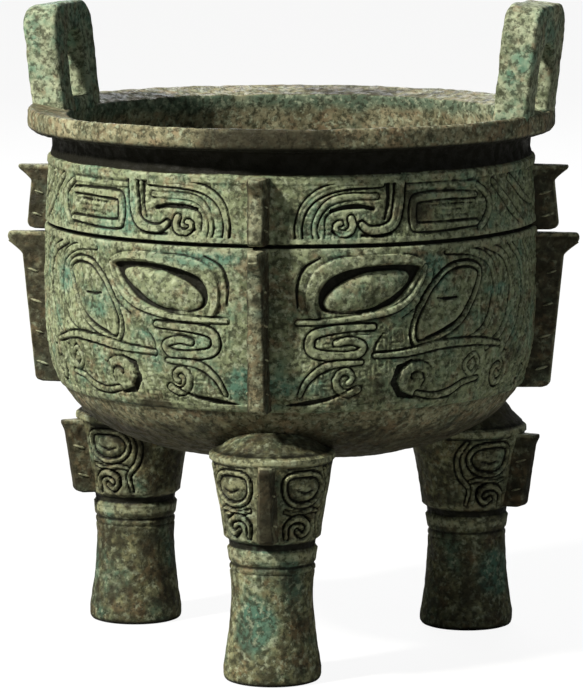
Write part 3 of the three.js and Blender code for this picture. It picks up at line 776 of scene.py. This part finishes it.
def both_sides(left, right):
    """Two faces' grids joined along their outer edge."""
    return np.concatenate([left, right[:, ::-1][:, 1:]], axis=1)


def flange_sides(reach, z, edge, shape, seed):
    """The skin of a flange that faces the front, with worn edges and uneven sides."""
    roundness = np.where(edge > 0, 0.45 + 0.55 * quarter_round(edge), 0)
    cap = np.minimum(shape.top - z, z - shape.bottom) / 0.9
    roundness = roundness * (0.86 + 0.14 * quarter_round(cap))
    places = np.stack([reach, z, np.full_like(reach, seed * 30.0)], -1)
    sides = []
    for hand in (-1, 1):
        wear = noise(places + hand * 7, 6, seed) * 0.45 + noise(places + hand * 9, 2.4, seed + 1) * 0.22
        half = (half_thickness(reach, shape) - 0.3 + wear) * roundness
        sides.append(np.stack([hand * half, -reach, z], -1))
    return both_sides(*sides)


def flange(name, azimuth, shape, material, seed, centre=(0, 0, 0), dark_front=0.36):
    """A hooked flange; on the bowl its root stops inside the wall, and on a leg it stands at centre."""
    rows = [*np.arange(shape.bottom, shape.top - 0.3, FLANGE_SPACING), shape.top - 0.2, shape.top]
    across = [*np.arange(0, 0.8, 0.045), *(1 - 0.2 * np.cos(np.linspace(0.05, 1.5, 9))), 1.0]
    depth, z = np.meshgrid(across, rows)
    outer = flange_outline(z, shape)
    start = shape.root if any(centre) else np.maximum(shape.root, bowl_radius(z) - WALL / 2)
    reach = start + (outer - start) * depth
    edge = np.where(depth > 0.999, 0, np.clip((outer - reach) / 1.5, 0, 1))
    points = flange_sides(reach, z, edge, shape, seed)
    rim = both_sides(1 - edge, 1 - edge)
    # The outer edge's strip is the front. dark_front darkens it, partly as brown patina and partly as
    # painted shade of the unlit edge; the broad faces are darkened partly as grime and partly as painted
    # shade.
    front = step(0.2, 0.9, rim)
    # Painted highlight: the beak's top is marked pale and kept free of darkening, as if lit from above. The
    # rounded outer edge is marked pale as worn edge and painted highlight, less where its front is darkened.
    cap_highlight = step(shape.top - 2.5, shape.top - 0.5, points[..., 2])
    grime_and_shade = dark_front * front + FLANGE_GRIME_AND_SHADE * (1 - front) * (1 - cap_highlight)
    marks = {"pits_and_shade": np.clip(0.35 - noise(points, 4.5, seed + 2) * 0.8, 0, 1) * 0.4,
             "crests_and_highlights": np.maximum(0.7 * rim * max(0, 1 - dark_front), 0.8 * cap_highlight),
             "stain_and_shade": ragged(grime_and_shade, points, seed + 4)}
    placed = spun(points, azimuth).reshape(-1, 3) + np.array(centre)
    make_mesh(name, placed, tube_faces(*points.shape[:2]), marks, material, 40)


def resampled(points, count):
    """A closed outline's points set evenly round it."""
    p = np.vstack([points, points[:1]])
    lengths = np.append(0, np.cumsum(np.linalg.norm(np.diff(p, axis=0), axis=1)))
    at = np.linspace(0, lengths[-1], count, endpoint=False)
    return np.stack([np.interp(at, lengths, p[:, k]) for k in (0, 1)], 1)


def handle_outlines(count, height):
    """The slab's outer outline and the slot's, both from the bottom's middle, turning left."""
    half, corner = HANDLE_WIDTH / 2, HANDLE_CORNER
    side_z = height - corner
    outer = [(0, -HANDLE_ROOT), (half, -HANDLE_ROOT), *arc(half - corner, side_z, corner, 0, 90, 16),
             *arc(corner - half, side_z, corner, 90, 180, 16), (-half, -HANDLE_ROOT)]
    arch = SLOT_WIDTH / 2
    slot = [(0, SLOT_SILL), (arch - 1, SLOT_SILL), (arch, SLOT_SILL + 1),
            *arc(0, SLOT_HEIGHT - arch, arch, 0, 180, 24), (-arch, SLOT_SILL + 1), (1 - arch, SLOT_SILL)]
    return resampled(np.array(outer, float), count), resampled(np.array(slot, float), count)


def handle_section():
    """Places round the bar between slot and outline: share of the way out, inset, depth."""
    half = HANDLE_THICKNESS / 2
    corner = []
    for q in np.radians(np.linspace(0, 90, 5)):
        corner.append((HANDLE_WEAR * (1 - math.sin(q)), half - HANDLE_WEAR * (1 - math.cos(q))))
    flat = [(share, 0.0, -half) for share in np.linspace(0, 1, 15)[1:-1]]
    side = [(1, 0.0, y) for y in np.linspace(HANDLE_WEAR - half, half - HANDLE_WEAR, 12)[1:-1]]
    front = [(1, -inset, -depth) for inset, depth in corner]
    back = [(1, -inset, depth) for inset, depth in reversed(corner)]
    first = [*flat, *front, *side, *back]
    return first + [(1 - share, -inset, -depth) for share, inset, depth in first]


def handle(name, azimuth, height, material, seed):
    """An upright slab with an arched slot, its edges worn round."""
    outer, slot = handle_outlines(HANDLE_COLUMNS, height - 0.5)
    share, inset, depth = (np.array(column)[:, None] for column in zip(*handle_section()))
    span = outer - slot
    length = np.linalg.norm(span, axis=1)
    along = HANDLE_WEAR / length + (1 - 2 * HANDLE_WEAR / length) * share
    along = np.where(share >= 1, 1 + inset / length, np.where(share <= 0, inset / length, along))
    flat = slot[None] + span[None] * along[..., None]
    lean = math.radians(HANDLE_LEAN)
    x, up = flat[..., 0], flat[..., 1]
    local = np.stack([x, -HANDLE_RADIUS - up * math.sin(lean) + depth * math.cos(lean),
                      RIM_Z + up * math.cos(lean) + depth * math.sin(lean)], -1)
    normals = grid_normals(np.concatenate([local[-2:], local, local[:2]]))[2:-2]
    uneven = noise(local, 17, seed) * 0.45 + noise(local, 6, seed + 1) * 0.35
    uneven += noise(local, 2.6, seed + 2) * 0.2
    points = spun(local + normals * uneven[..., None], azimuth).reshape(-1, 3)
    marks = {"pits_and_shade": np.clip(0.25 - uneven * 0.7, 0, 1) * 0.5, "crests_and_highlights": np.clip(uneven, 0, 1)}
    make_mesh(name, points, grid_faces(*x.shape, True, True), marks, material, 60)


# Ribs on the flanges' faces

def rib_places(azimuth, shape, centre, count):
    """Where short slanted ribs lie on both faces of a flange: place and turn of each."""
    pitch = (shape.top - shape.beak_drop - shape.bottom - 2) / count
    slope = math.atan((shape.thickness - FLANGE_EDGE) / 2 / (shape.beak_reach - shape.root))
    places = []
    for k in range(count):
        z = shape.bottom + 2 + pitch * (k + 0.5)
        reach = float(flange_outline(z, shape)) - 2.2 - RIB_LENGTH / 2
        half = float(half_thickness(reach, shape)) - 0.1
        for hand in (-1, 1):
            point = spun(np.array([hand * half, -reach, z]), azimuth) + np.array(centre)
            along = Vector((hand * math.sin(slope), math.cos(slope), -RIB_SLANT))
            along.rotate(Euler((0, 0, math.radians(azimuth))))
            places.append((point, along.to_track_quat("X", "Z").to_euler()))
    return places


def rib_tree():
    """Geometry nodes: a worn rod on each point, turned as the point says, made into real mesh."""
    tree = bpy.data.node_groups.new("flange_ribs", "GeometryNodeTree")
    sockets = {}
    for title, kind, value in (
        ("Geometry", "NodeSocketGeometry", None), ("Rib length", "NodeSocketFloat", 0.0075),
        ("Rib thickness", "NodeSocketFloat", 0.0013), ("Unevenness", "NodeSocketFloat", 0.2),
        ("Paleness", "NodeSocketFloat", 1.0), ("Seed", "NodeSocketInt", 7),
        ("Finish", "NodeSocketMaterial", None),
    ):
        socket = tree.interface.new_socket(title, in_out="INPUT", socket_type=kind)
        if value is not None:
            socket.default_value = value
        sockets[title] = socket.identifier
    tree.interface.new_socket("Geometry", in_out="OUTPUT", socket_type="NodeSocketGeometry")
    given = tree.nodes.new("NodeGroupInput").outputs
    half = maths(tree, "MULTIPLY", given["Rib length"], 0.5)
    start = add(tree, "ShaderNodeCombineXYZ", X=maths(tree, "MULTIPLY", half, -1.0))
    end = add(tree, "ShaderNodeCombineXYZ", X=half)
    spine = add(tree, "GeometryNodeCurvePrimitiveLine", Start=start.outputs[0], End=end.outputs[0])
    spine = add(tree, "GeometryNodeResampleCurve", Curve=spine.outputs[0], Count=7)
    share = add(tree, "GeometryNodeSplineParameter").outputs["Factor"]
    bulge = maths(tree, "MULTIPLY", share, maths(tree, "SUBTRACT", 1.0, share))
    worn = maths(tree, "POWER", maths(tree, "MULTIPLY", bulge, 4.0), 0.4)
    ring = add(tree, "GeometryNodeCurvePrimitiveCircle", Resolution=8,
               Radius=maths(tree, "MULTIPLY", given["Rib thickness"], 0.5))
    rod = add(tree, "GeometryNodeCurveToMesh", Curve=spine.outputs[0], Profile_Curve=ring.outputs[0],
              Scale=worn, Fill_Caps=True)
    turn = add(tree, "GeometryNodeInputNamedAttribute", data_type="FLOAT_VECTOR", Name="turn")
    spread = add(tree, "FunctionNodeRandomValue", Seed=given["Seed"])
    tree.links.new(maths(tree, "SUBTRACT", 1.0, given["Unevenness"]), spread.inputs[2])
    tree.links.new(maths(tree, "ADD", 1.0, given["Unevenness"]), spread.inputs[3])
    put = add(tree, "GeometryNodeInstanceOnPoints", Points=given["Geometry"], Instance=rod.outputs[0],
              Rotation=turn.outputs[0], Scale=spread.outputs[1])
    real = add(tree, "GeometryNodeRealizeInstances", Geometry=put.outputs[0])
    # Every rib is marked fully pale: a painted highlight on the ribs.
    pale = add(tree, "GeometryNodeStoreNamedAttribute", Geometry=real.outputs[0], data_type="FLOAT",
               domain="POINT", Name="crests_and_highlights", Value=given["Paleness"])
    smooth = add(tree, "GeometryNodeSetShadeSmooth", Geometry=pale.outputs[0])
    finish = add(tree, "GeometryNodeSetMaterial", Geometry=smooth.outputs[0], Material=given["Finish"])
    result = tree.nodes.new("NodeGroupOutput").inputs
    tree.links.new(finish.outputs[0], result[0])
    return tree, sockets


def flange_ribs(places, material):
    """All the ribs, as one plain mesh."""
    mesh = bpy.data.meshes.new("rib_points")
    mesh.from_pydata([tuple(point * MM) for point, _ in places], [], [])
    layer = mesh.attributes.new("turn", "FLOAT_VECTOR", "POINT")
    layer.data.foreach_set("vector", [angle for _, turn in places for angle in turn])
    guide = bpy.data.objects.new("rib_points", mesh)
    bpy.context.collection.objects.link(guide)
    tree, sockets = rib_tree()
    modifier = guide.modifiers.new("ribs", "NODES")
    modifier.node_group = tree
    modifier[sockets["Rib length"]] = RIB_LENGTH * MM
    modifier[sockets["Rib thickness"]] = RIB_THICKNESS * MM
    modifier[sockets["Finish"]] = material
    evaluated = guide.evaluated_get(bpy.context.evaluated_depsgraph_get())
    ribs = bpy.data.meshes.new_from_object(evaluated)
    guide.modifiers.remove(modifier)
    bpy.data.objects.remove(guide)
    ribs.name = "flange_ribs"
    finished("flange_ribs", ribs)


# Materials

def new_group(name, inputs, outputs):
    """An empty shader group with its sockets by kind, and its input and output nodes."""
    tree = bpy.data.node_groups.new(name, "ShaderNodeTree")
    for way, sockets in (("INPUT", inputs), ("OUTPUT", outputs)):
        for kind, titles in sockets:
            for title in titles:
                tree.interface.new_socket(title, in_out=way, socket_type=f"NodeSocket{kind}")
    return tree, tree.nodes.new("NodeGroupInput").outputs, tree.nodes.new("NodeGroupOutput").inputs


def fill(tree, socket, value):
    """Sets a socket, or links it to another."""
    if isinstance(value, bpy.types.NodeSocket):
        tree.links.new(value, socket)
    else:
        socket.default_value = value


def add(tree, kind, **values):
    """A node with its properties, and its inputs by name or as i and a number."""
    node = tree.nodes.new(kind)
    for title, value in values.items():
        if hasattr(node, title):
            setattr(node, title, value)
        elif title[1:].isdigit():
            fill(tree, node.inputs[int(title[1:])], value)
        else:
            fill(tree, node.inputs[title.replace("_", " ")], value)
    return node


def maths(tree, operation, a, b):
    return add(tree, "ShaderNodeMath", operation=operation, i0=a, i1=b).outputs[0]


def mapped(tree, value, low, high, start=0.0, end=1.0):
    """A value's range stretched to another, and clamped there."""
    return add(tree, "ShaderNodeMapRange", interpolation_type="SMOOTHSTEP", Value=value,
               From_Min=low, From_Max=high, To_Min=start, To_Max=end).outputs[0]


def mixed(tree, share, a, b):
    """Two colours mixed by a share."""
    return add(tree, "ShaderNodeMix", data_type="RGBA", i0=share, i6=a, i7=b).outputs[2]


def speckle_group():
    """A mask of patches of one size with ragged edges, from bare to full."""
    tree, given, result = new_group(
        "ragged_patches", [("Vector", ["Vector"]), ("Float", ["Size mm", "Share", "Softness"])],
        [("Float", ["Mask"])],
    )
    scale = maths(tree, "DIVIDE", 1 / MM, given["Size mm"])
    cloud = add(tree, "ShaderNodeTexNoise", Vector=given["Vector"], Scale=scale, Detail=5.0, Roughness=0.62)
    centre = maths(tree, "SUBTRACT", 0.72, maths(tree, "MULTIPLY", given["Share"], 0.44))
    low = maths(tree, "SUBTRACT", centre, given["Softness"])
    high = maths(tree, "ADD", centre, given["Softness"])
    tree.links.new(mapped(tree, cloud.outputs["Fac"], low, high), result["Mask"])
    return tree


def patina_group(patches):
    """Layers of patina: olive ground, pale bloom, teal and earth patches, dark pores, then the marks' pale
    crests and painted highlights, stains and painted shade, and dark hollows and painted shade.
    """
    tree, given, result = new_group(
        "layered_patina",
        [("Color", ["Ground", "Bloom", "Teal", "Earth"]),
         ("Float", ["Bloom share", "Teal share", "Earth share", "Pore share",
                    "Pits_and_shade", "Crests_and_highlights", "Stain_and_shade", "Verdigris"])],
        [("Color", ["Color"]), ("Float", ["Roughness", "Height"])],
    )
    place = add(tree, "ShaderNodeTexCoord").outputs["Object"]

    def patch(size, share, softness, shift):
        moved = add(tree, "ShaderNodeMapping", Vector=place)
        moved.inputs["Location"].default_value = (shift, shift * 2, -shift)
        return add(tree, "ShaderNodeGroup", node_tree=patches, Vector=moved.outputs[0], Size_mm=size,
                   Share=share, Softness=softness).outputs["Mask"]

    bloom, teal, ground = given["Bloom"], given["Teal"], given["Ground"]
    fine = patch(6.0, given["Bloom share"], 0.13, 0.3)
    pores = patch(3.2, given["Pore share"], 0.07, 2.1)
    layers = [
        (fine, 0.7, bloom),
        (patch(5.0, 0.46, 0.12, 4.1), 0.68, ground),
        (patch(22.0, given["Teal share"], 0.1, 0.7), 0.65, teal),
        (patch(11.0, given["Earth share"], 0.08, 1.3), 0.65, given["Earth"]),
        (given["Verdigris"], 0.85, teal),
        # Worn pale crests, and painted highlights on the flange tops and edges, the ribs and a strip of each
        # leg.
        (given["Crests_and_highlights"], 0.5, mixed(tree, 0.5, bloom, (0.34, 0.36, 0.24, 1))),
        (pores, 0.75, (0.02, 0.022, 0.012, 1)),
        (patch(3.2, 0.31, 0.09, 3.3), 0.5, (0.34, 0.38, 0.26, 1)),
        # Real stains and dirt, and painted shade on the neck, the underside, the back legs, and the flanges'
        # faces and edges.
        (given["Stain_and_shade"], 0.88, (0.016, 0.014, 0.008, 1)),
        # Grooves, wells and hollows go nearly black, as dark dirt and as painted shade in them; the neck
        # under the rim and the feet's bases are painted shade too.
        (mapped(tree, given["Pits_and_shade"], 0.08, 0.7), 0.98, (0.005, 0.005, 0.003, 1)),
    ]
    color = mixed(tree, patch(30.0, given["Bloom share"], 0.14, 0.0), ground, bloom)
    for mask, strength, tint in layers:
        color = mixed(tree, maths(tree, "MULTIPLY", mask, strength), color, tint)
    grain = add(tree, "ShaderNodeTexNoise", Vector=place, Scale=1500.0, Detail=3.0, Roughness=0.6)
    crust = add(tree, "ShaderNodeTexNoise", Vector=place, Scale=480.0, Detail=4.0, Roughness=0.65)
    height = maths(tree, "ADD", maths(tree, "MULTIPLY", grain.outputs["Fac"], 0.35), crust.outputs["Fac"])
    height = maths(tree, "SUBTRACT", height, maths(tree, "MULTIPLY", pores, 0.4))
    tree.links.new(color, result["Color"])
    tree.links.new(mapped(tree, fine, 0.0, 1.0, 0.52, 0.85), result["Roughness"])
    tree.links.new(height, result["Height"])
    return tree


def bronze(name, patina, ground, bloom, teal, earth, shares):
    """One patinated surface, with its own colours and shares of each patch."""
    material = bpy.data.materials.new(name)
    material.use_nodes = True
    tree = material.node_tree
    shader = tree.nodes["Principled BSDF"]
    shader.inputs["Metallic"].default_value = 0.0
    shader.inputs["Specular IOR Level"].default_value = 0.1
    layers = add(tree, "ShaderNodeGroup", node_tree=patina)
    for title, color in (("Ground", ground), ("Bloom", bloom), ("Teal", teal), ("Earth", earth)):
        layers.inputs[title].default_value = (*color, 1)
    for title, share in zip(("Bloom share", "Teal share", "Earth share", "Pore share"), shares):
        layers.inputs[title].default_value = share
    for title in ("pits_and_shade", "crests_and_highlights", "stain_and_shade", "verdigris"):
        attribute = add(tree, "ShaderNodeAttribute", attribute_name=title)
        tree.links.new(attribute.outputs["Fac"], layers.inputs[title.capitalize()])
    relief = add(tree, "ShaderNodeBump", Strength=0.6, Distance=0.0006, Height=layers.outputs["Height"])
    tree.links.new(layers.outputs["Color"], shader.inputs["Base Color"])
    tree.links.new(layers.outputs["Roughness"], shader.inputs["Roughness"])
    tree.links.new(relief.outputs[0], shader.inputs["Normal"])
    return material


def make_materials():
    patina = patina_group(speckle_group())
    return {name: bronze(f"{name}_bronze", patina, *finish) for name, finish in FINISHES.items()}


# Setting

def aim(item, place, target):
    """Puts a camera or light at a place, looking at a target."""
    item.location = place
    item.rotation_euler = (target - place).to_track_quat("-Z", "Y").to_euler()


def direction(azimuth, elevation):
    a, e = math.radians(azimuth), math.radians(elevation)
    return Vector((math.sin(a) * math.cos(e), -math.cos(a) * math.cos(e), math.sin(e)))


def make_camera():
    data = bpy.data.cameras.new("camera")
    data.sensor_width = 36
    data.lens = CAMERA_LENS
    camera = bpy.data.objects.new("camera", data)
    bpy.context.collection.objects.link(camera)
    target = Vector((0, 0, CAMERA_TARGET_Z))
    azimuth, elevation, distance = CAMERA_PLACE
    aim(camera, target + direction(azimuth, elevation) * distance, target)
    bpy.context.scene.camera = camera


def make_light(name, azimuth, elevation, distance, size, power, color):
    data = bpy.data.lights.new(name, "AREA")
    data.size = size
    data.energy = power
    data.color = color
    lamp = bpy.data.objects.new(name, data)
    bpy.context.collection.objects.link(lamp)
    target = Vector((0, 0, LIGHT_TARGET_Z))
    aim(lamp, target + direction(azimuth, elevation) * distance, target)


def seen_by_camera(tree, unseen, seen):
    """One shader for what the camera sees directly and another for the light it gives."""
    path = add(tree, "ShaderNodeLightPath")
    return add(tree, "ShaderNodeMixShader", Fac=path.outputs["Is Camera Ray"], i1=unseen, i2=seen).outputs[0]


def make_floor():
    mesh = bpy.data.meshes.new("floor")
    reach = 30
    mesh.from_pydata([(-reach, -reach, 0), (reach, -reach, 0), (reach, reach, 0), (-reach, reach, 0)],
                     [], [(0, 1, 2, 3)])
    material = bpy.data.materials.new("pale_floor")
    material.use_nodes = True
    tree = material.node_tree
    tree.nodes.clear()
    dim = add(tree, "ShaderNodeBsdfDiffuse", Color=(0.3, 0.3, 0.28, 1))
    pale = add(tree, "ShaderNodeBsdfDiffuse", Color=(0.9, 0.9, 0.9, 1))
    glow = add(tree, "ShaderNodeEmission", Strength=1.0)
    white = add(tree, "ShaderNodeMixShader", Fac=0.92, i1=pale.outputs[0], i2=glow.outputs[0])
    output = tree.nodes.new("ShaderNodeOutputMaterial")
    tree.links.new(seen_by_camera(tree, dim.outputs[0], white.outputs[0]), output.inputs["Surface"])
    mesh.materials.append(material)
    floor = bpy.data.objects.new("floor", mesh)
    bpy.context.collection.objects.link(floor)


def make_studio():
    world = bpy.data.worlds.new("studio")
    world.use_nodes = True
    tree = world.node_tree
    tree.nodes.clear()
    dim = add(tree, "ShaderNodeBackground", Color=(0.93, 0.97, 1, 1), Strength=0.09)
    white = add(tree, "ShaderNodeBackground", Color=(1, 1, 1, 1), Strength=1.0)
    output = tree.nodes.new("ShaderNodeOutputWorld")
    tree.links.new(seen_by_camera(tree, dim.outputs[0], white.outputs[0]), output.inputs["Surface"])
    bpy.context.scene.world = world
    for name, values in LIGHTS.items():
        make_light(name, *values)


def bowl_flanges(drop):
    """The shapes of the upper and lower flange at one side of the bowl."""
    upper = FlangeShape(134, TOP_BORDER_Z + 1.6 - drop, GROOVE_Z + 1 - drop, 150.5, 153, 158.3,
                        2, 9, FLANGE_ROOT)
    lower = FlangeShape(bowl_radius(MASK_BOTTOM_Z) - WALL / 2, GROOVE_Z - 1 - drop,
                        MASK_BOTTOM_Z - 1.5 - drop / 2, 156, 149, 164.8, 5.5, 13, FLANGE_ROOT)
    return upper, lower


def make_ding(materials):
    bowl_body(materials["rim"])
    quarters = (("front_right", 0, FRONT_SPACING), ("back_right", 1, BACK_SPACING),
                ("back_left", 2, BACK_SPACING), ("front_left", -1, FRONT_SPACING))
    for title, quarter, spacing in quarters:
        bowl_panel(f"ornament_{title}", quarter, spacing, materials["ornament"])
    ribs = []
    for k, (title, (azimuth, drop)) in enumerate(FLANGE_SIDES.items()):
        for level, shape, seed, rib_count in zip(("upper", "lower"), bowl_flanges(drop), (51, 61), (2, 4)):
            flange(f"{level}_flange_{title}", azimuth, shape, materials["flange"], seed + k)
            ribs += rib_places(azimuth, shape, (0, 0, 0), rib_count)
    for k, (title, (azimuth, turn, drop, grime_and_shade)) in enumerate(LEGS.items()):
        place, facing = azimuth + LEG_TURN, azimuth + turn + LEG_TURN
        leg(f"leg_{title}", place, facing, drop, grime_and_shade, materials["leg"], 71 + k)
        border, centre = LEG_BORDER_Z - drop, leg_centre(place)
        shape = FlangeShape(WAIST_RADIUS / 2, border - 3, border - 46, 43, 38, 45.3, 2, 7, LEG_FLANGE_ROOT)
        # The leg flanges' front edges are darkened fully, partly as dark patina and partly as painted shade
        # of their unlit edges.
        flange(f"leg_flange_{title}", facing, shape, materials["flange"], 81 + k, centre, 1.2)
        ribs += rib_places(facing, shape, centre, 2)
    flange_ribs(ribs, materials["flange"])
    for k, (title, azimuth) in enumerate((("right", 90), ("left", 270))):
        height = HANDLE_HEIGHTS[title]
        handle(f"handle_{title}", azimuth + HANDLE_TURN, height, materials["handle"], 91 + 4 * k)


make_camera()
make_floor()
make_studio()
make_ding(make_materials())
bpy.context.scene.view_settings.view_transform = "Standard"
